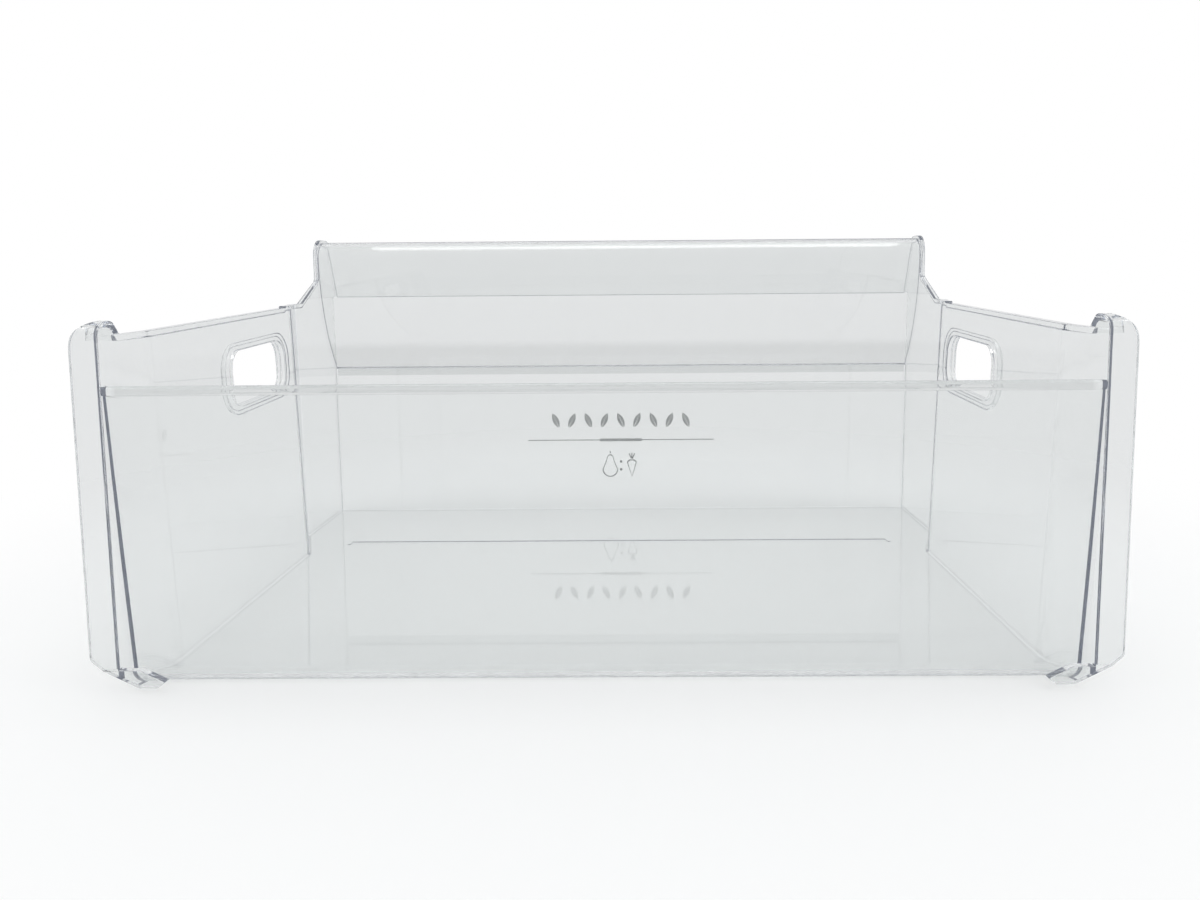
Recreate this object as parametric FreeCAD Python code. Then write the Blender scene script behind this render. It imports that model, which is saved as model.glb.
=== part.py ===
import FreeCAD, Part
import math
import os
from FreeCAD import Placement, Rotation, Vector

# Clear crisper drawer of a refrigerator: a moulded tub, a grip moulding that
# closes the top of its front, and the marks printed on the front wall.
# +Z is up and the front of the drawer faces -Y. The origin is at the middle
# of the drawer's box, on the surface that it stands on. All sizes are in mm.
# "Forward" distances run from the rear plane of the drawer towards its front.
# Heights are from the underside of the floor.

# Walls and floor
overall_width = 480.0
wall = 2.5
floor_thick = 2.5
inner_length = 334.0
front_lean_deg = 2.2
floor_edge_round = 3.0
inner_edge_round = 1.5

# Rear part of the side walls, set in from the drawer's full width
inset_foot_setback = 24.5
inset_rim_setback = 18.8
flare_setback = 13.0
flare_length = 32.0
flare_round = 40.0

# Front part of the side walls, set out beyond the step
outset_foot_setback = 7.4
outset_draft_deg = 1.1
outset_length = 77.0
step_length = 46.0
step_round = 16.0

# Top edge of the side walls, up to the wings at the front corners
rim_rear_height = 167.5
rim_front_height = 175.7
rim_lip_out = 2.6
rim_lip_high = 3.0
stop_length = 13.0
stop_rise = 1.2
wing_foot_back = 66.0
wing_foot_round = 12.0
wing_shoulder_height = 193.0
wing_shoulder_round = 4.0
wing_top_height = 225.0
wing_top_round = 13.0

# Rear wall and the bead on its top edge
rear_height = 144.6
rear_foot_gap = 8.5
rear_lean_deg = 2.8
rear_edge_round = 10.0
rear_bead_thick = 4.6
rear_bead_high = 4.4
rear_bead_round = 1.6

# Rear flanges, bent forward over a hump on top, with a slanted foot
flange_thick = 3.0
flange_corner_round = 12.0
flange_side_foot = 16.5
foot_bend_setback = 6.0
foot_top_height = 11.3
foot_low_setback = 22.5
foot_low_height = 2.9
foot_flat_setback = 31.0
foot_inner_setback = 34.6
foot_inner_height = 5.7
foot_shoulder_setback = 23.5
foot_thick = 4.0
hump_height = 174.2
hump_crest_length = 10.2
hump_length = 14.4
hump_round = 7.0
hump_front_round = 3.5

# Hand holes in the side walls and the collars round them
hole_length = 77.0
hole_height = 33.0
hole_round = 12.0
hole_from_step = 54.5
hole_middle_height = 136.0
collar_side = 8.0
collar_top = 4.6
collar_raise = 2.5
collar_lip_side = 5.2
collar_lip_top = 2.6
collar_lip_raise = 4.2

# Rib across the floor
rib_side_gap = 19.5
rib_from_front = 94.0
rib_wide = 2.4
rib_high = 0.5
rib_return = 7.0

# Grip: seam on the front wall, scoop for the fingers, hood and hanging lip
seam_height = 120.5
scoop_depth = 29.5
scoop_slope_deg = 36.0
scoop_round = 140.0
hood_height = 223.0
hood_back_round = 14.0
hood_front_back = 3.2
hood_front_round = 6.0
lip_height = 180.0
lip_overhang = 14.0
grip_thick = 2.5
grip_side_gap = 0.2
lap_high = 6.0
lap_thick = 1.7
lap_round = 1.5
lap_gap = 0.15

# Marks printed on the outside of the front wall. The outlines of the pear and of
# the carrot's root are right halves, in shares of half the width and of the height
ink_thick = 0.12
rule_half = 77.0
rule_high = 0.8
rule_height = 59.5
bar_half = 17.5
bar_high = 2.3
leaf_count = 9
leaf_pitch = 13.5
leaf_long = 13.0
leaf_wide = 5.2
leaf_row_height = 76.0
leaf_tilt_deg = 24.0
emblem_height = 38.0
emblem_spacing = 18.0
emblem_line = 0.9
pear_high = 19.0
pear_wide = 13.0
pear_half = [(0, 0), (0.72, 0.1), (1, 0.34), (0.72, 0.55), (0.44, 0.8), (0.26, 0.96), (0, 1)]
carrot_high = 14.4
carrot_wide = 8.0
carrot_half = [(0, 0), (0.62, 0.5), (1, 0.86), (0.7, 0.97), (0, 1)]
carrot_top_high = 4.8
dot_radius = 1.1
dot_spacing = 6.6

# Reach of the cutting bodies beyond the drawer, and a length that counts as none
spare = 20.0
tiny = 1e-4

front_lean = math.tan(math.radians(front_lean_deg))
rear_lean = math.tan(math.radians(rear_lean_deg))
outset_draft = math.tan(math.radians(outset_draft_deg))
half_width = overall_width / 2
inset_half = half_width - inset_foot_setback
outset_half = half_width - outset_foot_setback
flare_half = half_width - flare_setback
inset_draft = (inset_foot_setback - inset_rim_setback) / (rim_front_height - floor_thick)
cut_top = max(wing_top_height, hood_height) + spare


def front_inside(height):
    """Forward distance of the front wall's inner face at a height."""
    return inner_length + (height - floor_thick) * front_lean


def rear_outside(height):
    """Forward distance of the rear wall's outer face at a height."""
    return rear_foot_gap - (height - floor_thick) * rear_lean


seam_forward = front_inside(seam_height)
overall_depth = seam_forward + lip_overhang
step_front = inner_length - outset_length
step_back = step_front - step_length
wing_shoulder = seam_forward - scoop_depth
hood_front = seam_forward - hood_front_back
cut_half = half_width + spare


def point(half, forward, height):
    """A point of the drawer from its offset to the side, forward and up."""
    return Vector(half, overall_depth / 2 - forward, height)


def corner_arc(before, corner, after, radius):
    """Start, middle and end of the arc that rounds a corner."""
    to_before = (before - corner).normalize()
    to_after = (after - corner).normalize()
    half_angle = to_before.getAngle(to_after) / 2
    bisector = (to_before + to_after).normalize()
    reach = radius / math.tan(half_angle)
    to_middle = radius / math.sin(half_angle) - radius
    return corner + to_before * reach, corner + bisector * to_middle, corner + to_after * reach


def rounded_wire(points, radii, closed=True):
    """Wire through points, with an arc at each corner that has a radius."""
    count = len(points)
    stretches = []
    for i, corner in enumerate(points):
        if radii[i] > 0:
            before, after = points[i - 1], points[(i + 1) % count]
            stretches.append(corner_arc(before, corner, after, radii[i]))
        else:
            stretches.append((corner, None, corner))
    edges = []
    for i, (start, middle, end) in enumerate(stretches):
        if middle is not None:
            edges.append(Part.Arc(start, middle, end).toShape())
        following = stretches[(i + 1) % count][0]
        if (closed or i + 1 < count) and not end.isEqual(following, tiny):
            edges.append(Part.makeLine(end, following))
    return Part.Wire(edges)


def offset_corners(corners, distance):
    """Corners of a plan outline moved outwards by a wall thickness."""
    moved = []
    for i, (x, y) in enumerate(corners):
        x_before, y_before = corners[i - 1]
        x_after, y_after = corners[(i + 1) % len(corners)]
        first = math.hypot(x - x_before, y - y_before)
        second = math.hypot(x_after - x, y_after - y)
        first_x, first_y = (y - y_before) / first, (x_before - x) / first
        second_x, second_y = (y_after - y) / second, (x - x_after) / second
        share = distance / (1 + first_x * second_x + first_y * second_y)
        moved.append((x + (first_x + second_x) * share, y + (first_y + second_y) * share))
    return moved


def plan_wire(height, outwards):
    """Outline of the side walls at a height, running past front and rear."""
    inset = inset_half + (height - floor_thick) * inset_draft
    outset = outset_half + (height - floor_thick) * outset_draft
    tail = (flare_half - inset) / flare_length * spare
    right = [
        (flare_half + tail, -spare),
        (inset, flare_length),
        (inset, step_back),
        (outset, step_front),
        (outset, overall_depth + spare),
    ]
    right_radii = [0, flare_round - outwards, step_round - outwards, step_round + outwards, 0]
    left = [(-half, forward) for half, forward in reversed(right)]
    corners = offset_corners(left + right, outwards)
    radii = list(reversed(right_radii)) + right_radii
    return rounded_wire([point(half, forward, height) for half, forward in corners], radii)


def plan_body(outwards, low, high):
    """Drafted body of the plan outline between two heights."""
    return Part.makeLoft([plan_wire(low, outwards), plan_wire(high, outwards)], True, True)


def prism(corners, radii, half):
    """Body of a side view outline, twice as wide as the half width."""
    wire = rounded_wire([point(-half, forward, height) for forward, height in corners], radii)
    return Part.Face(wire).extrude(Vector(2 * half, 0, 0))


def block(half, forward_a, forward_b, low, high):
    """Body across the drawer between two forward distances and heights."""
    corner = point(-half, forward_b, low)
    return Part.makeBox(2 * half, forward_b - forward_a, high - low, corner)


def side_profile(foot_round, top_round):
    """Outline of the side view, with its two rear corners rounded as given."""
    stop_front = step_back + stop_length / 2
    stop_back = stop_front - stop_length
    outline = [
        (0, 0, foot_round),
        (0, hump_height, top_round),
        (hump_crest_length, hump_height, hump_front_round),
        (hump_length, rim_rear_height, rim_lip_high / 2),
        (stop_back - stop_rise, rim_front_height - stop_rise, 0),
        (stop_back, rim_front_height, 0),
        (seam_forward - wing_foot_back, rim_front_height, wing_foot_round),
        (wing_shoulder, wing_shoulder_height, wing_shoulder_round),
        (wing_shoulder, wing_top_height, wing_top_round),
        (hood_front, wing_top_height, hood_front_round),
        (overall_depth, lip_height, 0),
        (seam_forward + wall, lip_height, wall),
        (seam_forward + wall, seam_height, 0),
        (front_inside(0) + wall, 0, floor_edge_round),
    ]
    corners = [(forward, height) for forward, height, radius in outline]
    radii = [radius for forward, height, radius in outline]
    return prism(corners, radii, cut_half)


def low_rounded(body, low, radius):
    """Body with its lowest edges along the side walls rounded."""
    edges = [e for e in body.Edges if e.BoundBox.ZMax < low + tiny and e.BoundBox.YLength > wall]
    return body.makeFillet(radius, edges)


def space_inside():
    """Space between the side walls from the rear wall to the front wall."""
    outline = [
        (rear_outside(floor_thick) + wall, floor_thick, rear_edge_round - wall),
        (inner_length, floor_thick, 0),
        (seam_forward, seam_height, 0),
        (overall_depth + spare, seam_height, 0),
        (overall_depth + spare, cut_top + spare, 0),
        (-spare, cut_top + spare, 0),
        (-spare, rear_height, 0),
        (rear_outside(rear_height) + wall, rear_height, 0),
    ]
    corners = [(forward, height) for forward, height, radius in outline]
    space = prism(corners, [radius for forward, height, radius in outline], cut_half)
    plan = plan_body(0, floor_thick, cut_top + 2 * spare)
    space = space.common(low_rounded(plan, floor_thick, inner_edge_round))
    front = point(0, inner_length - wall, 0).y
    boxes = [(e, e.BoundBox) for e in space.Edges]
    edges = [e for e, box in boxes if box.YMax < front and box.ZMin < rear_edge_round]
    return space.makeFillet(inner_edge_round, edges)


def space_behind():
    """Space between the side walls behind the rear wall and above it."""
    foot = rear_outside(0)
    top = rear_outside(rear_height)
    outline = [
        (foot + spare, -spare, 0),
        (foot + spare, 0, 0),
        (foot, 0, rear_edge_round),
        (top, rear_height, 0),
        (top + wall, rear_height, 0),
        (top + wall, cut_top, 0),
        (-spare, cut_top, 0),
        (-spare, -spare, 0),
    ]
    corners = [(forward, height) for forward, height, radius in outline]
    radii = [radius for forward, height, radius in outline]
    return prism(corners, radii, cut_half).common(plan_body(0, -spare, cut_top))


def rim_lips(profile):
    """Lips that stand out along the top edges of the side walls and wings."""
    ring = plan_body(wall + rim_lip_out, rear_height, cut_top)
    ring = ring.cut(plan_body(wall / 2, rear_height - spare, cut_top + spare))
    lowered = profile.translated(Vector(0, 0, -rim_lip_high))
    forwarded = profile.translated(Vector(0, -rim_lip_high, 0))
    lips = ring.common(profile).cut(lowered.common(forwarded))
    zone = block(half_width, hump_length / 2, seam_forward, rear_height, cut_top)
    return lips.common(zone)


def flange(side):
    """Rear flange of one side, bent forward on top and thicker at its foot."""
    outline = [
        (flare_half, hump_height, 0),
        (half_width, hump_height, flange_corner_round),
        (half_width, flange_side_foot, flange_thick),
        (half_width - foot_bend_setback, foot_top_height, flange_thick),
        (half_width - foot_low_setback, foot_low_height, flange_thick),
        (half_width - foot_flat_setback, foot_low_height, 0),
        (half_width - foot_inner_setback, foot_inner_height, 0),
        (half_width - foot_shoulder_setback, foot_top_height, 0),
        (flare_half, foot_top_height, 0),
    ]
    points = [point(side * half, 0, height) for half, height, radius in outline]
    face = Part.Face(rounded_wire(points, [radius for half, height, radius in outline]))
    profile = side_profile(0, hump_round)
    lowered = profile.translated(Vector(0, 0, -flange_thick))
    forwarded = profile.translated(Vector(0, -flange_thick, 0))
    body = face.extrude(Vector(0, -hump_length, 0)).common(profile)
    body = body.cut(lowered.common(forwarded))
    foot = face.extrude(Vector(0, -foot_thick, 0))
    return body.fuse(foot.common(block(half_width, 0, foot_thick, 0, foot_top_height)))


def rear_bead():
    """Rounded bead along the top edge of the rear wall."""
    middle = rear_outside(rear_height) + wall / 2
    back, front = middle - rear_bead_thick / 2, middle + rear_bead_thick / 2
    low = rear_height - rear_bead_high
    corners = [(back, low), (back, rear_height), (front, rear_height), (front, low)]
    bead = prism(corners, [rear_bead_round] * 4, cut_half)
    return bead.common(plan_body(wall, 0, cut_top))


def floor_rib():
    """Low rib across the floor, with a short return at each end."""
    middle = inner_length - rib_from_front
    back = middle - rib_wide / 2
    top = floor_thick + rib_high
    corners = [(back, 0), (back, top), (back + rib_wide, top), (back + rib_wide, 0)]
    rib_half = inset_half - rib_side_gap
    long_rib = prism(corners, [0, rib_high / 2, rib_high / 2, 0], rib_half)
    returns = block(rib_half, middle - rib_return, middle, floor_thick / 2, top)
    returns = returns.cut(block(rib_half - rib_wide, 0, overall_depth, 0, cut_top))
    return long_rib.common(block(rib_half, 0, overall_depth, floor_thick / 2, cut_top)).fuse(returns)


def hole_prism(grow_side, grow_top):
    """Rounded slot through both side walls, in line with the rim above it."""
    rise = (rim_front_height - rim_rear_height) / (step_back - hump_length)
    middle = step_back - hole_from_step
    half_long = hole_length / 2 + grow_side
    half_high = hole_height / 2 + grow_top
    corners = []
    for along, up in ((-1, -1), (-1, 1), (1, 1), (1, -1)):
        offset = along * half_long
        corners.append((middle + offset, hole_middle_height + up * half_high + offset * rise))
    radius = hole_round + grow_top
    return prism(corners, [radius] * 4, cut_half)


def collars():
    """Stepped collars round the hand holes, on the outside of the walls."""
    raised = plan_body(wall + collar_raise, 0, rear_height + spare)
    lip = plan_body(wall + collar_lip_raise, 0, rear_height + spare)
    step = hole_prism(collar_side, collar_top).common(raised)
    ring = step.fuse(hole_prism(collar_lip_side, collar_lip_top).common(lip))
    return ring.cut(plan_body(wall / 2, -spare, cut_top))


def build_tub():
    """Tub: floor, side walls with wings, rear wall and lower front wall."""
    profile = side_profile(rear_edge_round, hump_round)
    outer = low_rounded(plan_body(wall, 0, cut_top), 0, floor_edge_round).common(profile)
    tub = outer.cut(space_inside()).cut(space_behind())
    added = [rim_lips(profile), rear_bead(), floor_rib(), collars()]
    added += [flange(side) for side in (-1, 1)]
    tub = tub.fuse(added).cut(hole_prism(0, 0))
    return tub.removeSplitter()


def build_grip():
    """Grip: scoop, hood and lip bent from one sheet, with a lap at the seam."""
    slope = math.radians(scoop_slope_deg)
    scoop_bend = seam_height + scoop_depth / math.tan(slope)
    below = lap_high
    path = [
        (seam_forward + below * math.tan(slope), seam_height - below, 0),
        (wing_shoulder, scoop_bend, scoop_round),
        (wing_shoulder, hood_height, hood_back_round),
        (hood_front, hood_height, hood_front_round),
        (overall_depth, lip_height, 0),
    ]
    points = [point(-cut_half, forward, height) for forward, height, radius in path]
    line = rounded_wire(points, [radius for forward, height, radius in path], closed=False)
    sheet = line.makeOffset2D(-grip_thick, 0, True, True, False)
    sheet = sheet.extrude(Vector(2 * cut_half, 0, 0))
    sheet = sheet.common(block(cut_half, 0, overall_depth + spare, seam_height, cut_top))
    lap_back = seam_forward + wall + lap_gap
    lap_front = lap_back + lap_thick
    lap = [
        (lap_back, seam_height - lap_high, 0),
        (lap_back, seam_height, 0),
        (seam_forward + lap_thick / 2, seam_height, 0),
        (seam_forward + lap_thick / 2, seam_height + lap_thick, 0),
        (lap_front, seam_height + lap_thick, lap_round),
        (lap_front, seam_height - lap_high, 0),
    ]
    corners = [(forward, height) for forward, height, radius in lap]
    skirt = prism(corners, [radius for forward, height, radius in lap], cut_half)
    grip = sheet.fuse(skirt).common(plan_body(-grip_side_gap, 0, cut_top))
    return grip.removeSplitter()


def on_front(shape):
    """Place a flat shape on the outer face of the front wall."""
    lean = math.radians(front_lean_deg)
    across = Vector(1, 0, 0)
    up = Vector(0, -math.sin(lean), math.cos(lean))
    turn = Rotation(across, up, across.cross(up), "XYZ")
    origin = point(0, front_inside(0) + wall, 0)
    placed = shape.copy()
    placed.Placement = Placement(origin, turn).multiply(shape.Placement)
    return placed


def ink(face):
    """Printed mark of one flat face, on the front wall."""
    return on_front(face.extrude(Vector(0, 0, ink_thick)))


def bar(middle_x, middle_y, half_x, half_y):
    """Flat rectangle by its middle and half sizes."""
    corner = Vector(middle_x - half_x, middle_y - half_y, 0)
    return Part.makePlane(2 * half_x, 2 * half_y, corner)


def arc_outline(points):
    """Flat face inside arcs that run through every second point."""
    spots = [Vector(x, y, 0) for x, y in points]
    edges = []
    for i in range(0, len(spots), 2):
        start, middle, end = spots[i], spots[i + 1], spots[(i + 2) % len(spots)]
        edges.append(Part.Arc(start, middle, end).toShape())
    return Part.Face(Part.Wire(edges))


def turned(shape, x, y, degrees):
    """Flat shape turned about its own zero point and moved into place."""
    placed = shape.copy()
    placed.Placement = Placement(Vector(x, y, 0), Rotation(Vector(0, 0, 1), degrees))
    return placed


def ring_of(outline, high, wide):
    """Line of even width along an outline, by cutting out a smaller copy."""
    matrix = FreeCAD.Matrix()
    share_x = 1 - 2 * emblem_line / wide
    share_y = 1 - 2 * emblem_line / high
    matrix.scale(share_x, share_y, 1)
    inner = outline.transformGeometry(matrix)
    inner.translate(Vector(0, high / 2 * (1 - share_y), 0))
    return outline.cut(inner)


def build_rule():
    """Thin printed rule with a thicker bar in its middle."""
    arm = (rule_half - bar_half) / 2
    marks = [bar(0, rule_height, bar_half, bar_high / 2)]
    for side in (-1, 1):
        marks.append(bar(side * (bar_half + arm), rule_height, arm, rule_high / 2))
    body = ink(marks[0])
    return body.fuse([ink(mark) for mark in marks[1:]]).removeSplitter()


def build_leaves():
    """Row of plain leaves above the rule, leaning to either side in turn."""
    half_long, half_wide = leaf_long / 2, leaf_wide / 2
    leaf = arc_outline([(0, -half_long), (half_wide, 0), (0, half_long), (-half_wide, 0)])
    leaves = []
    for i in range(leaf_count):
        x = (i - (leaf_count - 1) / 2) * leaf_pitch
        tilt = leaf_tilt_deg if i % 2 else -leaf_tilt_deg
        leaves.append(ink(turned(leaf, x, leaf_row_height, tilt)))
    return Part.makeCompound(leaves)


def mirrored_outline(shares, wide, high):
    """Flat face from the right half of an outline, in shares of its size."""
    right = [(share_x * wide / 2, share_y * high) for share_x, share_y in shares]
    left = [(-x, y) for x, y in reversed(right[1:-1])]
    return arc_outline(right + left)


def build_emblem():
    """Plain pear and carrot in outline, with two dots between them."""
    pear = mirrored_outline(pear_half, pear_wide, pear_high)
    carrot = mirrored_outline(carrot_half, carrot_wide, carrot_high)
    pear_x, carrot_x = emblem_spacing / 2, -emblem_spacing / 2
    base = emblem_height - pear_high / 2
    marks = [turned(ring_of(pear, pear_high, pear_wide), pear_x, base, 0)]
    marks.append(turned(ring_of(carrot, carrot_high, carrot_wide), carrot_x, base, 0))
    blade = bar(0, emblem_line + carrot_top_high / 2, emblem_line / 2, carrot_top_high / 2)
    blades = []
    for side in (-1, 0, 1):
        blades.append(turned(blade, carrot_x, base + carrot_high, side * leaf_tilt_deg))
    marks.append(blades[0].fuse(blades[1:]).removeSplitter())
    stalk = bar(0, 2 * emblem_line, emblem_line / 2, emblem_line)
    marks.append(turned(stalk, pear_x, base + pear_high, 0))
    for rise in (-1, 1):
        dot = Part.Face(Part.Wire(Part.makeCircle(dot_radius)))
        marks.append(turned(dot, 0, emblem_height + rise * dot_spacing / 2, 0))
    return Part.makeCompound([ink(mark) for mark in marks])


parts = {
    "tub": build_tub(),
    "grip": build_grip(),
    "print_rule": build_rule(),
    "print_leaves": build_leaves(),
    "print_emblem": build_emblem(),
}
os.makedirs("parts", exist_ok=True)
for name, shape in parts.items():
    shape.exportStep("parts/" + name + ".step")
    print(name, shape.isValid(), round(shape.Volume), len(shape.Solids), len(shape.Faces))
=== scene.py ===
# %% [markdown]
# # A clear crisper drawer
# The drawer is a thin moulding of clear plastic, closed at the top of its front by
# a bent grip, with grey marks printed on the front wall. Its shape comes from the
# CAD frame. The lesson is about the looks: how clear plastic shows its edges, how a
# moulded surface differs from a perfect one, and how light has to be set for it.

# %% Load the frame
import math
import bmesh
import bpy
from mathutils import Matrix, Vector
from mathutils.bvhtree import BVHTree


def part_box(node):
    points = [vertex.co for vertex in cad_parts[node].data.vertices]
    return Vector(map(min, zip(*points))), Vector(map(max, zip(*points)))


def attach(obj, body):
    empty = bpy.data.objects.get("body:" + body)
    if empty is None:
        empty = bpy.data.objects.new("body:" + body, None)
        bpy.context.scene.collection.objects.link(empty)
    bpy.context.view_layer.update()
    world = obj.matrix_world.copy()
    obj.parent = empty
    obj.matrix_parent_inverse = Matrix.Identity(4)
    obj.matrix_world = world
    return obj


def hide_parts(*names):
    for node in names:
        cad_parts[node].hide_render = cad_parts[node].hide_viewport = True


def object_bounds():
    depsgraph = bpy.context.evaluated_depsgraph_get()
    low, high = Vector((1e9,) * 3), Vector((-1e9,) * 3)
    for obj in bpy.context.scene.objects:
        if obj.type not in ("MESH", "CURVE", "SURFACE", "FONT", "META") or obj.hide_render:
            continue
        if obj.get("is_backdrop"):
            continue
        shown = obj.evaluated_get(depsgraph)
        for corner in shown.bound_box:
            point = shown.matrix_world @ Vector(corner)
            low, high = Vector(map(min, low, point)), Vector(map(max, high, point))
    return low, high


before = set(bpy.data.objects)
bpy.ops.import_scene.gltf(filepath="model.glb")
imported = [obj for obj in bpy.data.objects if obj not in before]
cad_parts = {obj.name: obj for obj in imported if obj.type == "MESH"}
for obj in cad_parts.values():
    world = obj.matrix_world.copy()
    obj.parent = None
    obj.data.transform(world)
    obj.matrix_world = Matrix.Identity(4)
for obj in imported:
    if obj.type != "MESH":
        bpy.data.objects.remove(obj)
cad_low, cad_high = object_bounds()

MM = 0.001
scene = bpy.context.scene
scene.view_settings.view_transform = "Standard"
print("CAD box in mm:", [round((b - a) / MM, 1) for a, b in zip(cad_low, cad_high)])

# %% [markdown]
# ## Camera
# The photo looks into the drawer from behind, from a little above its rim. The
# place, the turn and the lens were worked out from pairs of edges in the photo.
# The photo's frame isn't centred on the lens, so a small shift moves the picture.

# %% Camera
SENSOR_WIDE, LENS = 36.0, 27.0
FRAME_SHIFT = (-0.0299, -0.0656)
CAMERA_PLACE = (-0.0183, 0.5782, 0.1899)
CAMERA_TURN = (84.34, 0.448, -179.624)
camera_data = bpy.data.cameras.new("camera")
camera_data.sensor_width = SENSOR_WIDE
camera_data.lens = LENS
camera_data.shift_x, camera_data.shift_y = FRAME_SHIFT
camera = bpy.data.objects.new("camera", camera_data)
camera.location = CAMERA_PLACE
camera.rotation_euler = [math.radians(angle) for angle in CAMERA_TURN]
scene.collection.objects.link(camera)
scene.camera = camera
print("lens", camera_data.lens, "mm at", [round(c, 3) for c in camera.location])

# %% [markdown]
# ## Node helper
# Every material below is a small tree. One helper adds a node, sets its plain
# values, and joins its inputs, so that a tree reads as a list of steps.

# %% Node helper
def add(tree, kind, joins=(), place=(0, 0), **values):
    """Add a node, set its values and sockets, and join its inputs."""
    node = tree.nodes.new(kind)
    node.location = place
    for key, value in values.items():
        setattr(node, key, value)
    for socket, value in dict(joins).items():
        if hasattr(value, "is_output"):
            tree.links.new(value, node.inputs[socket])
        else:
            node.inputs[socket].default_value = value
    return node


def new_material(name):
    """Empty material with its output node, ready for a tree."""
    material = bpy.data.materials.new(name)
    material.use_nodes = True
    material.node_tree.nodes.clear()
    output = add(material.node_tree, "ShaderNodeOutputMaterial", place=(900, 0))
    return material, material.node_tree, output

# %% [markdown]
# ## Studio
# Clear plastic has almost no colour of its own: it shows what is behind it and
# what it mirrors. On a plain white all round it would vanish. So the eye sees a
# white backdrop, and rays that come through the plastic or off its gloss see the
# same backdrop in a pale grey, as a sheet of paper looks beside its lit edge. The
# light itself comes from an even dome and a few large soft panels.

# %% World
DOME_LIGHT = 0.78
THROUGH_GREY = 0.83
AIR_TINT = (0.985, 0.992, 1.0, 1)


def sees_backdrop(tree):
    """One where a ray comes from the eye, a mirror or the clear plastic."""
    path = add(tree, "ShaderNodeLightPath", place=(-700, 200))
    either = add(tree, "ShaderNodeMath", {0: path.outputs["Is Glossy Ray"],
                 1: path.outputs["Is Transmission Ray"]}, (-500, 200), operation="MAXIMUM")
    any_of = add(tree, "ShaderNodeMath", {0: either.outputs[0],
                 1: path.outputs["Is Camera Ray"]}, (-300, 200), operation="MAXIMUM")
    return any_of.outputs[0], path.outputs["Is Camera Ray"]


def backdrop_colour(tree, from_eye):
    """White for the eye and a pale cool grey for every other ray."""
    grey = [THROUGH_GREY * c for c in AIR_TINT[:3]] + [1]
    return add(tree, "ShaderNodeMix", {"Factor": from_eye, "A": grey, "B": (1, 1, 1, 1)},
               (-200, -200), data_type="RGBA").outputs["Result"]


world = bpy.data.worlds.new("studio")
world.use_nodes = True
scene.world = world
sky = world.node_tree
sky.nodes.clear()
seen_by, from_eye = sees_backdrop(sky)
seen = add(sky, "ShaderNodeBackground", {"Color": backdrop_colour(sky, from_eye)})
lit = add(sky, "ShaderNodeBackground", {"Color": AIR_TINT, "Strength": DOME_LIGHT})
pick = add(sky, "ShaderNodeMixShader", {0: seen_by, 1: lit.outputs[0], 2: seen.outputs[0]},
           (200, 0))
add(sky, "ShaderNodeOutputWorld", {"Surface": pick.outputs[0]}, (400, 0))
print("dome light", DOME_LIGHT, "and backdrop through the plastic", THROUGH_GREY)

# %% [markdown]
# ## Floor
# The floor is pale paper that holds the drawer's soft shadow. Near the drawer it is
# partly lit by the lamps, so the shadow shows. Farther out it turns into the plain
# backdrop, so that no horizon line cuts through the picture.

# %% Floor
FLOOR_HALF = 4.0
FLOOR_DROP = 0.2 * MM
PAPER_WHITE = (0.9, 0.91, 0.91, 1)
SHADOW_SHARE = 0.65
SHADOW_REACH = (0.22, 0.6)
floor_mesh = bpy.data.meshes.new("floor")
floor_mesh.from_pydata(
    [(x * FLOOR_HALF, y * FLOOR_HALF, 0) for x, y in ((-1, -1), (1, -1), (1, 1), (-1, 1))],
    [], [(0, 1, 2, 3)])
floor = bpy.data.objects.new("floor", floor_mesh)
scene.collection.objects.link(floor)
floor.location.z = -FLOOR_DROP
paper, tree, output = new_material("pale_floor")
seen_by, from_eye = sees_backdrop(tree)
spot = add(tree, "ShaderNodeTexCoord", place=(-900, -400)).outputs["Object"]
away = add(tree, "ShaderNodeVectorMath", {0: spot}, (-700, -400), operation="LENGTH")
fade = add(tree, "ShaderNodeMapRange", {"Value": away.outputs["Value"],
           "From Min": SHADOW_REACH[0], "From Max": SHADOW_REACH[1],
           "To Min": 1 - SHADOW_SHARE, "To Max": 1.0}, (-500, -400),
           interpolation_type="SMOOTHSTEP")
share = add(tree, "ShaderNodeMath", {0: seen_by, 1: fade.outputs["Result"]}, (0, 200),
            operation="MULTIPLY")
matte = add(tree, "ShaderNodeBsdfDiffuse", {"Color": PAPER_WHITE})
glow = add(tree, "ShaderNodeEmission", {"Color": backdrop_colour(tree, from_eye)}, (0, -200))
both = add(tree, "ShaderNodeMixShader", {0: share.outputs[0], 1: matte.outputs[0],
           2: glow.outputs[0]}, (300, 0))
tree.links.new(both.outputs[0], output.inputs["Surface"])
floor_mesh.materials.append(paper)
floor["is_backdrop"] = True
print("floor fades into the backdrop from", SHADOW_REACH[0], "to", SHADOW_REACH[1], "m")

# %% [markdown]
# ## Soft panels
# Three large panels give the light a direction and draw the long highlights on the
# hood. They mirror in the clear floor and walls as pale rectangles, and the wider a
# panel is for its strength, the softer that image gets.

# %% Soft panels
PANEL_AIM = (0, 0, 0.1)


def soft_panel(name, place, size, strength):
    """Rectangular lamp at a place, turned to the drawer, with its size in metres."""
    lamp = bpy.data.lights.new(name, "AREA")
    lamp.shape = "RECTANGLE"
    lamp.size, lamp.size_y = size
    lamp.energy = strength
    panel = bpy.data.objects.new(name, lamp)
    panel.location = place
    panel.rotation_euler = (Vector(PANEL_AIM) - Vector(place)).to_track_quat("-Z", "Y").to_euler()
    scene.collection.objects.link(panel)
    print(name, "at", place, "strength", strength)


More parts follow.
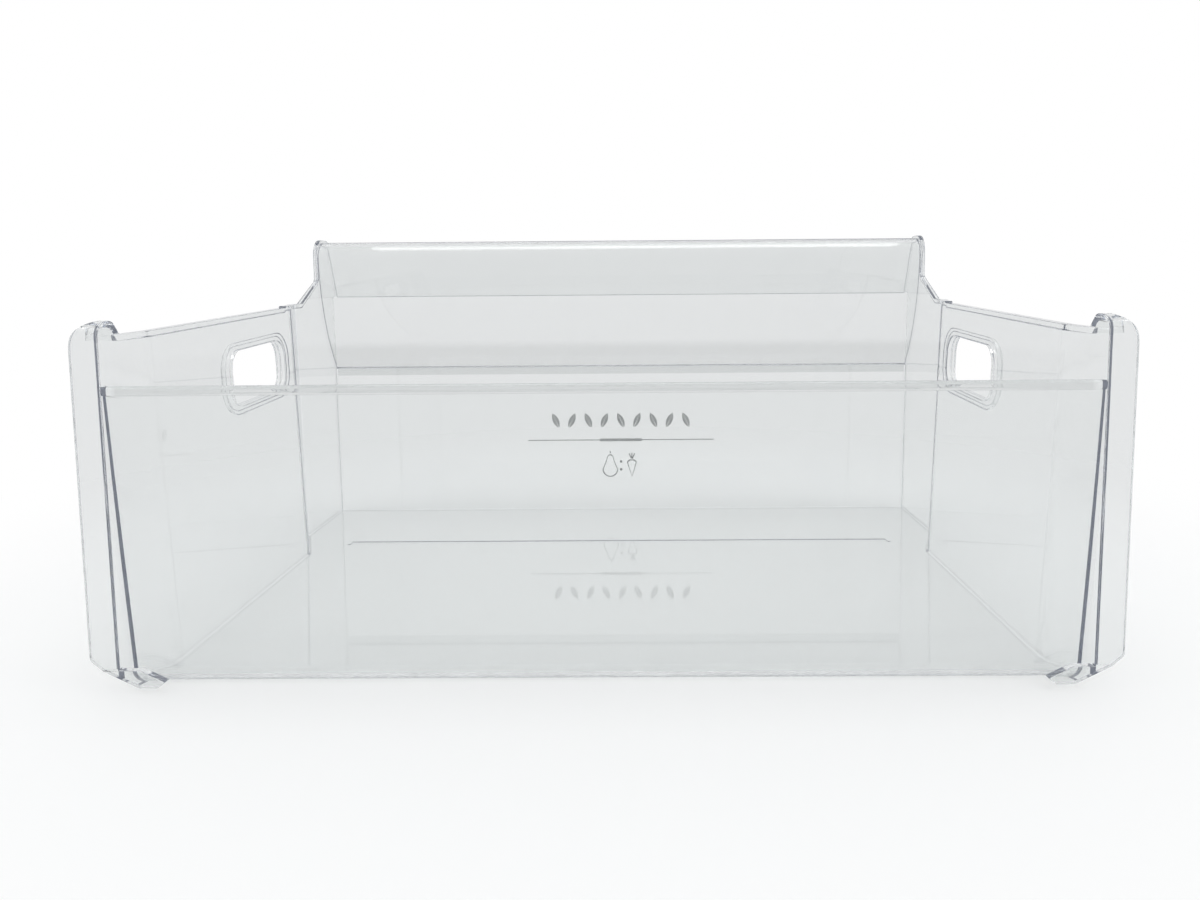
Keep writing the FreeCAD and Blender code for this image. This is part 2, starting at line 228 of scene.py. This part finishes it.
soft_panel("panel_above", (0.0, 0.1, 1.9), (1.4, 0.9), 9)
soft_panel("panel_left", (1.7, 0.9, 1.1), (1.2, 1.6), 5)
soft_panel("panel_right", (-1.8, 0.6, 0.9), (1.2, 1.6), 4)

# %% [markdown]
# ## Trim below the feet
# Each rear flange ends in a slanted foot. The side wall behind it runs down a little
# farther, and through the clear foot its end would show. So a wedge takes away what
# is below the foot. Its top follows the slant from the side inwards, and falls away
# in steps of its own towards the front, where the floor begins. Sizes are in mm.

# %% Wedge for the trim
FOOT_STATIONS = (-1.0, 3.0, 14.0)
FOOT_SETBACKS = (2.0, 25.0)
FOOT_TOP, FOOT_SLOPE, FOOT_FALL = 14.3, 0.509, 0.76
CUT_BOTTOM = -30.0


def slanted_row(shape, side, forward, heights):
    """Corners across the wedge at one distance from the rear, one for each height."""
    return [shape.verts.new((side * (cad_high.x - setback * MM), cad_high.y - forward * MM,
            height * MM)) for setback, height in zip(FOOT_SETBACKS, heights)]


def corner_cutter():
    """Wedges below the slanted feet, one on each side, as one closed mesh."""
    shape = bmesh.new()
    for side in (-1, 1):
        tops, bottoms = [], []
        for forward in FOOT_STATIONS:
            fall = FOOT_FALL * max(0.0, forward - FOOT_STATIONS[1])
            slant = [FOOT_TOP - FOOT_SLOPE * setback - fall for setback in FOOT_SETBACKS]
            tops.append(slanted_row(shape, side, forward, slant))
            bottoms.append(slanted_row(shape, side, forward, (CUT_BOTTOM, CUT_BOTTOM)))
        for i in range(len(FOOT_STATIONS) - 1):
            ring = [tops[i], tops[i + 1], bottoms[i + 1], bottoms[i]]
            shape.faces.new((*ring[0], *reversed(ring[1])))
            shape.faces.new((*ring[2], *reversed(ring[3])))
            for end in (0, 1):
                shape.faces.new([pair[end] for pair in ring])
        for top, bottom in ((tops[0], bottoms[0]), (tops[-1], bottoms[-1])):
            shape.faces.new((*top, *reversed(bottom)))
    bmesh.ops.recalc_face_normals(shape, faces=shape.faces)
    mesh = bpy.data.meshes.new("cutter")
    shape.to_mesh(mesh)
    shape.free()
    wedge = bpy.data.objects.new("cutter", mesh)
    print("wedge for the trim has", len(mesh.polygons), "faces")
    return wedge

# %% [markdown]
# ## Moulded copy of a CAD node
# A CAD node arrives as loose flat triangles. Light that bends through a clear wall
# shows each of them, and a mould never makes a knife edge. So a copy is merged, its
# flat parts are joined, and every sharp edge gets a tiny rounding. That rounding
# draws the fine bright and dark lines that let one see a clear thing at all.
# Beside very short edges there is no room for it, so there it shrinks, and a corner
# that still strays from the CAD surface is put back on it.

# %% Moulded copy
FLAT_ANGLE = math.radians(0.4)
SHARP_ANGLE = math.radians(28)
ROOM_SHARE = 0.3
SAME_CORNER = 0.02 * MM
SHORT_EDGE = 0.12 * MM
SLIVER = 0.002 * MM
BEVEL_STEPS = 2


def weigh_edges(shape, edge_round):
    """Give each sharp edge the share of the rounding that its neighbours leave."""
    weight = shape.edges.layers.float.new("bevel_weight_edge")
    for edge in shape.edges:
        if edge.calc_face_angle(0) > SHARP_ANGLE:
            room = min(near.calc_length() for end in edge.verts for near in end.link_edges)
            edge[weight] = min(1.0, ROOM_SHARE * room / edge_round)


def evaluated(piece):
    """Swap a piece's mesh for the one that its modifiers make, and drop them."""
    shown = piece.evaluated_get(bpy.context.evaluated_depsgraph_get())
    finished = bpy.data.meshes.new_from_object(shown)
    piece.modifiers.clear()
    piece.data = finished
    return finished


def moulded_copy(node, name, edge_round, cutter=None):
    """Merged, trimmed, edge-rounded and smoothly shaded copy of a CAD node."""
    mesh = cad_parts[node].data.copy()
    mesh.materials.clear()
    shape = bmesh.new()
    shape.from_mesh(mesh)
    bmesh.ops.remove_doubles(shape, verts=shape.verts, dist=SAME_CORNER)
    shape.to_mesh(mesh)
    shape.free()
    piece = bpy.data.objects.new(name, mesh)
    scene.collection.objects.link(piece)
    if cutter:
        scene.collection.objects.link(cutter)
        trim = piece.modifiers.new("trim", "BOOLEAN")
        trim.operation = "DIFFERENCE"
        trim.solver = "EXACT"
        trim.object = cutter
        mesh = evaluated(piece)
        bpy.data.objects.remove(cutter)
    shape = bmesh.new()
    shape.from_mesh(mesh)
    skin = BVHTree.FromBMesh(shape)
    bmesh.ops.remove_doubles(shape, verts=shape.verts, dist=SHORT_EDGE)
    bmesh.ops.dissolve_degenerate(shape, edges=shape.edges, dist=SLIVER)
    bmesh.ops.dissolve_limit(shape, angle_limit=FLAT_ANGLE, verts=shape.verts, edges=shape.edges)
    open_edges = sum(not edge.is_manifold for edge in shape.edges)
    weigh_edges(shape, edge_round)
    shape.to_mesh(mesh)
    shape.free()
    rounding = piece.modifiers.new("edges", "BEVEL")
    rounding.width = edge_round
    rounding.segments = BEVEL_STEPS
    rounding.limit_method = "WEIGHT"
    rounding.use_clamp_overlap = False
    rounded = evaluated(piece)
    strays = 0
    for corner in rounded.vertices:
        place, normal, index, away = skin.find_nearest(corner.co)
        if away > edge_round / 2:
            corner.co = place
            strays += 1
    rounded.shade_smooth()
    even = piece.modifiers.new("flat_faces", "WEIGHTED_NORMAL")
    even.weight = 100
    even.keep_sharp = True
    finished = evaluated(piece)
    print(name, len(finished.polygons), "faces,", open_edges, "open edges,", strays, "strays")
    return piece

# %% [markdown]
# ## Clear plastic
# The real drawer is moulded in a clear, hard, glossy plastic with a faint cool grey
# tint. A Principled shader with full transmission bends light by the plastic's own
# index. Inside two bounds the tint gets deeper. At the thick bead on the rear rim this
# is partly the loss in more plastic and partly painted shade for the bead's grey band.
# At the foot of the scoop, in the bend, it is painted shade: the darker band of a
# mirrored dark part of the room. A mould is never quite flat: long soft waves move the
# mirrored light a little, and fine scuffs from use dull the gloss in places. Light that
# is caught between the two faces of a wall is mirrored many times before it leaves. The
# renderer gives up on it after four and would show a black line there. So from the
# third mirroring on each meeting with the surface adds a faint cool glow, painted light
# in place of the lost light, which gives the blue-grey shade of a clear edge.

# %% Clear plastic
CLEAR_TINT = (0.962, 0.972, 0.97, 1)
# The deeper tint below is painted shade in bands; at the rear bead it is partly the loss in
# thicker plastic.
PAINTED_SHADE_TINT = (0.85, 0.862, 0.86, 1)
PLASTIC_INDEX = 1.57
CLEARNESS = 0.95
GLOSS_RANGE = (0.01, 0.04)
# Painted light: from the third mirroring on the plastic glows faintly blue, in place of light the
# renderer drops.
CAUGHT_AFTER = 2.5
PAINTED_CAUGHT_GLOW = 0.045
PAINTED_GLOW_BLUE = (0.5, 0.62, 1.0, 1)
SHADOW_PASSES = (0.86, 0.87, 0.87, 1)
# Bounds of the bands of painted shade, in metres: the rear bead and the foot of the scoop.
REAR_BEAD_SHADE = (("Y", (0.1695, 0.1705)), ("Z", (0.1397, 0.1403)),
             ("X", (-0.2225, -0.2215)), ("X", (0.2225, 0.2215)))
SCOOP_FOOT_SHADE = (("Z", (0.145, 0.136)),)
WAVE_DEPTH = 0.03 * MM


def painted_shade_share(tree, place, bounds):
    """One past the bounds of a band of painted shade, in metres, and zero before them."""
    axes = add(tree, "ShaderNodeSeparateXYZ", {0: place}, (-1100, 600))
    share = 1.0
    for axis, (start, full) in bounds:  # the tint deepens from start to full
        ramp = add(tree, "ShaderNodeMapRange", {"Value": axes.outputs[axis], "From Min": start,
                   "From Max": full}, (-900, 600), interpolation_type="SMOOTHSTEP")
        share = add(tree, "ShaderNodeMath", {0: share, 1: ramp.outputs["Result"]}, (-700, 600),
                    operation="MULTIPLY").outputs[0]
    return share


def clear_plastic(name, painted_shade_bounds):
    """Glossy clear plastic with soft mould waves, fine scuffs, bands of painted shade and a faint
    painted glow.
    """
    material, tree, output = new_material(name)
    place = add(tree, "ShaderNodeTexCoord", place=(-1100, 0)).outputs["Object"]
    # Painted shade: the tint deepens inside the bands.
    tint = add(tree, "ShaderNodeMix", {"Factor": painted_shade_share(tree, place, painted_shade_bounds),
               "A": CLEAR_TINT, "B": PAINTED_SHADE_TINT}, (-500, 600),
               data_type="RGBA").outputs["Result"]
    waves = add(tree, "ShaderNodeTexNoise", {"Vector": place, "Scale": 9.0, "Detail": 1.0,
                "Roughness": 0.4}, (-800, -200))
    scuffs = add(tree, "ShaderNodeTexNoise", {"Vector": place, "Scale": 60.0, "Detail": 6.0,
                 "Roughness": 0.7}, (-800, 100))
    rough = add(tree, "ShaderNodeMapRange", {"Value": scuffs.outputs["Fac"], "From Min": 0.45,
                "From Max": 0.8, "To Min": GLOSS_RANGE[0], "To Max": GLOSS_RANGE[1]},
                (-500, 100))
    bump = add(tree, "ShaderNodeBump", {"Height": waves.outputs["Fac"], "Strength": 0.5,
               "Distance": WAVE_DEPTH}, (-500, -200))
    path = add(tree, "ShaderNodeLightPath", place=(-500, 500))
    # Painted glow: emission once the glossy depth passes the limit.
    caught = add(tree, "ShaderNodeMath", {0: path.outputs["Glossy Depth"], 1: CAUGHT_AFTER},
                 (-250, 400), operation="GREATER_THAN")
    glow = add(tree, "ShaderNodeMath", {0: caught.outputs[0], 1: PAINTED_CAUGHT_GLOW}, (0, 400),
               operation="MULTIPLY")
    plastic = add(tree, "ShaderNodeBsdfPrincipled", {
        "Base Color": tint, "Roughness": rough.outputs["Result"], "IOR": PLASTIC_INDEX,
        "Transmission Weight": CLEARNESS, "Emission Color": PAINTED_GLOW_BLUE,
        "Emission Strength": glow.outputs[0], "Normal": bump.outputs["Normal"]}, (200, 0))
    passes = add(tree, "ShaderNodeBsdfTransparent", {"Color": SHADOW_PASSES}, (200, 250))
    surface = add(tree, "ShaderNodeMixShader", {0: path.outputs["Is Shadow Ray"],
                  1: plastic.outputs[0], 2: passes.outputs[0]}, (600, 0))
    tree.links.new(surface.outputs[0], output.inputs["Surface"])
    return material


# Each plastic deepens its tint, as painted shade, inside its own bands.
TUB_PLASTIC = clear_plastic("clear_plastic_tub", REAR_BEAD_SHADE)
GRIP_PLASTIC = clear_plastic("clear_plastic_grip", SCOOP_FOOT_SHADE)
print("clear plastic ready, tinted at the rear bead and at the foot of the scoop")

# %% Tub
EDGE_ROUND = 0.35 * MM
tub = moulded_copy("tub", "tub_moulding", EDGE_ROUND, corner_cutter())
tub.data.materials.append(TUB_PLASTIC)
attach(tub, "root")
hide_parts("tub")

# %% Grip
grip = moulded_copy("grip", "grip_moulding", EDGE_ROUND)
grip.data.materials.append(GRIP_PLASTIC)
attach(grip, "root")
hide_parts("grip")

# %% [markdown]
# ## Printed marks
# The marks are pad printed in grey ink. Ink lies thin and a little uneven, so its
# grey shifts slightly and its surface is duller than the plastic round it.

# %% Ink
INK_GREY = (0.24, 0.26, 0.26, 1)
INK_DULL = 0.55
COVER_RANGE = (0.85, 1.15)


def printed_ink(name, grey):
    """Thin grey ink with slight changes in its cover."""
    material, tree, output = new_material(name)
    place = add(tree, "ShaderNodeTexCoord", place=(-900, 0)).outputs["Object"]
    cover = add(tree, "ShaderNodeTexNoise", {"Vector": place, "Scale": 900.0, "Detail": 3.0},
                (-700, 0))
    shade = add(tree, "ShaderNodeMapRange", {"Value": cover.outputs["Fac"],
                "To Min": COVER_RANGE[0], "To Max": COVER_RANGE[1]}, (-450, 0))
    colour = add(tree, "ShaderNodeMix", {"Factor": 1.0, "A": grey,
                 "B": shade.outputs["Result"]}, (-200, 0), data_type="RGBA",
                 blend_type="MULTIPLY")
    bump = add(tree, "ShaderNodeBump", {"Height": cover.outputs["Fac"], "Strength": 0.3,
               "Distance": 0.00002}, (-200, -250))
    ink = add(tree, "ShaderNodeBsdfPrincipled", {
        "Base Color": colour.outputs["Result"], "Roughness": INK_DULL,
        "Normal": bump.outputs["Normal"]}, (200, 0))
    tree.links.new(ink.outputs[0], output.inputs["Surface"])
    return material


INK = printed_ink("grey_ink", INK_GREY)
for name in ("print_rule", "print_emblem"):
    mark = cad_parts[name]
    mark.data.materials.clear()
    mark.data.materials.append(INK)
    print(name, "printed")

# %% [markdown]
# ## Row of leaves
# The same leaf is printed nine times, leaning to one side and the other in turn. So
# one half leaf is bent out of a flat grid, thickened, and mirrored, which leaves a
# clear vein between the halves. The mirrored half has its faces flipped, because a
# mirror turns them inside out. A line of points then carries the copies. The leaf
# narrows with the square of the distance from its middle, and its vein with the
# distance from the stalk.

# %% Leaf nodes
LEAF_INPUTS = {"Leaves": 9, "Pitch": 13.5 * MM, "Long": 13.0 * MM, "Half Wide": 2.6 * MM,
               "Half Vein": 0.24 * MM, "Ink Thick": 0.12 * MM, "Tilt": math.radians(24)}
LEAF_GRID = (5, 21)
TIP_FALL = 3.88
VEIN_END = 0.55


def math_node(tree, operation, *terms):
    """Output of a math node that works on sockets or plain numbers."""
    return add(tree, "ShaderNodeMath", dict(enumerate(terms)), operation=operation).outputs[0]


def half_leaf(tree, given):
    """Closed half of a leaf, beside its vein, lying on the ground plane."""
    grid = add(tree, "GeometryNodeMeshGrid", {"Size X": 1.0, "Size Y": 1.0,
               "Vertices X": LEAF_GRID[0], "Vertices Y": LEAF_GRID[1]})
    spot = add(tree, "GeometryNodeInputPosition")
    axes = add(tree, "ShaderNodeSeparateXYZ", {0: spot.outputs[0]})
    outwards = math_node(tree, "ADD", axes.outputs["X"], 0.5)
    along = axes.outputs["Y"]
    squared = math_node(tree, "MULTIPLY", along, along)
    bulge = math_node(tree, "MULTIPLY_ADD", squared, -TIP_FALL, 1.0)
    share = math_node(tree, "MULTIPLY", outwards, bulge)
    vein = math_node(tree, "MULTIPLY", math_node(tree, "SUBTRACT", VEIN_END, along),
                     given["Half Vein"])
    room = math_node(tree, "SUBTRACT", given["Half Wide"], given["Half Vein"])
    x = math_node(tree, "MULTIPLY_ADD", share, room, vein)
    y = math_node(tree, "MULTIPLY", along, given["Long"])
    bent = add(tree, "ShaderNodeCombineXYZ", {"X": x, "Y": y})
    flat = add(tree, "GeometryNodeSetPosition", {"Geometry": grid.outputs["Mesh"],
               "Position": bent.outputs[0]})
    raised = add(tree, "GeometryNodeExtrudeMesh", {"Mesh": flat.outputs[0],
                 "Offset Scale": given["Ink Thick"], "Individual": False})
    under = add(tree, "GeometryNodeFlipFaces", {"Mesh": flat.outputs[0]})
    closed = add(tree, "GeometryNodeJoinGeometry")
    for part in (under, raised):
        tree.links.new(part.outputs["Mesh"], closed.inputs[0])
    return add(tree, "GeometryNodeMergeByDistance", {"Geometry": closed.outputs[0],
               "Distance": 0.001 * MM}).outputs[0]


def leaf_row():
    """Node tree that prints a row of leaves, leaning to either side in turn."""
    tree = bpy.data.node_groups.new("leaf_row", "GeometryNodeTree")
    for label, value in LEAF_INPUTS.items():
        kind = "NodeSocketInt" if isinstance(value, int) else "NodeSocketFloat"
        tree.interface.new_socket(label, in_out="INPUT", socket_type=kind)
    tree.interface.new_socket("Place", in_out="INPUT", socket_type="NodeSocketVector")
    tree.interface.new_socket("Turn", in_out="INPUT", socket_type="NodeSocketVector")
    tree.interface.new_socket("Ink", in_out="INPUT", socket_type="NodeSocketMaterial")
    tree.interface.new_socket("Mesh", in_out="OUTPUT", socket_type="NodeSocketGeometry")
    given = add(tree, "NodeGroupInput").outputs
    half = half_leaf(tree, given)
    turned = add(tree, "GeometryNodeTransform", {"Geometry": half, "Scale": (-1, 1, 1)})
    mirrored = add(tree, "GeometryNodeFlipFaces", {"Mesh": turned.outputs[0]})
    leaf = add(tree, "GeometryNodeJoinGeometry")
    for part in (mirrored.outputs[0], half):
        tree.links.new(part, leaf.inputs[0])
    step = add(tree, "ShaderNodeCombineXYZ", {"X": given["Pitch"]})
    gaps = math_node(tree, "SUBTRACT", given["Leaves"], 1.0)
    reach = math_node(tree, "MULTIPLY", math_node(tree, "MULTIPLY", gaps, -0.5), given["Pitch"])
    sunk = math_node(tree, "MULTIPLY", given["Ink Thick"], -0.5)
    start = add(tree, "ShaderNodeCombineXYZ", {"X": reach, "Z": sunk})
    line = add(tree, "GeometryNodeMeshLine", {"Count": given["Leaves"],
               "Start Location": start.outputs[0], "Offset": step.outputs[0]})
    odd = math_node(tree, "MODULO", add(tree, "GeometryNodeInputIndex").outputs[0], 2.0)
    side = math_node(tree, "MULTIPLY_ADD", odd, 2.0, -1.0)
    lean = add(tree, "ShaderNodeCombineXYZ", {"Z": math_node(tree, "MULTIPLY", side,
               given["Tilt"])})
    copies = add(tree, "GeometryNodeInstanceOnPoints", {"Points": line.outputs[0],
                 "Instance": leaf.outputs[0], "Rotation": lean.outputs[0]})
    real = add(tree, "GeometryNodeRealizeInstances", {"Geometry": copies.outputs[0]})
    put = add(tree, "GeometryNodeTransform", {"Geometry": real.outputs[0],
              "Translation": given["Place"], "Rotation": given["Turn"]})
    inked = add(tree, "GeometryNodeSetMaterial", {"Geometry": put.outputs[0],
                "Material": given["Ink"]})
    add(tree, "NodeGroupOutput", {0: inked.outputs[0]})
    return tree

# %% Leaves on the front wall
FRONT_LEAN = math.radians(2.2)
low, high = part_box("print_leaves")
leaves = bpy.data.objects.new("leaves", bpy.data.meshes.new("leaves"))
scene.collection.objects.link(leaves)
row = leaves.modifiers.new("row", "NODES")
row.node_group = leaf_row()
middle = [(a + b) / 2 for a, b in zip(low, high)]
values = dict(LEAF_INPUTS, Place=middle,
              Turn=(math.pi / 2 + FRONT_LEAN, 0.0, 0.0), Ink=INK)
for socket in row.node_group.interface.items_tree:
    if socket.in_out == "INPUT":
        row[socket.identifier] = values[socket.name]
leaves.update_tag()
finished = evaluated(leaves)
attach(leaves, "root")
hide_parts("print_leaves")
check = bmesh.new()
check.from_mesh(finished)
print("leaves", len(finished.polygons), "faces, volume in cubic mm",
      round(check.calc_volume(signed=True) / MM ** 3, 1),
      "open edges", sum(not edge.is_manifold for edge in check.edges))
check.free()

# %% [markdown]
# ## Measures
# The dressed drawer has to keep the size of the CAD drawer, so both boxes are kept.

# %% Measures
low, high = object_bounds()
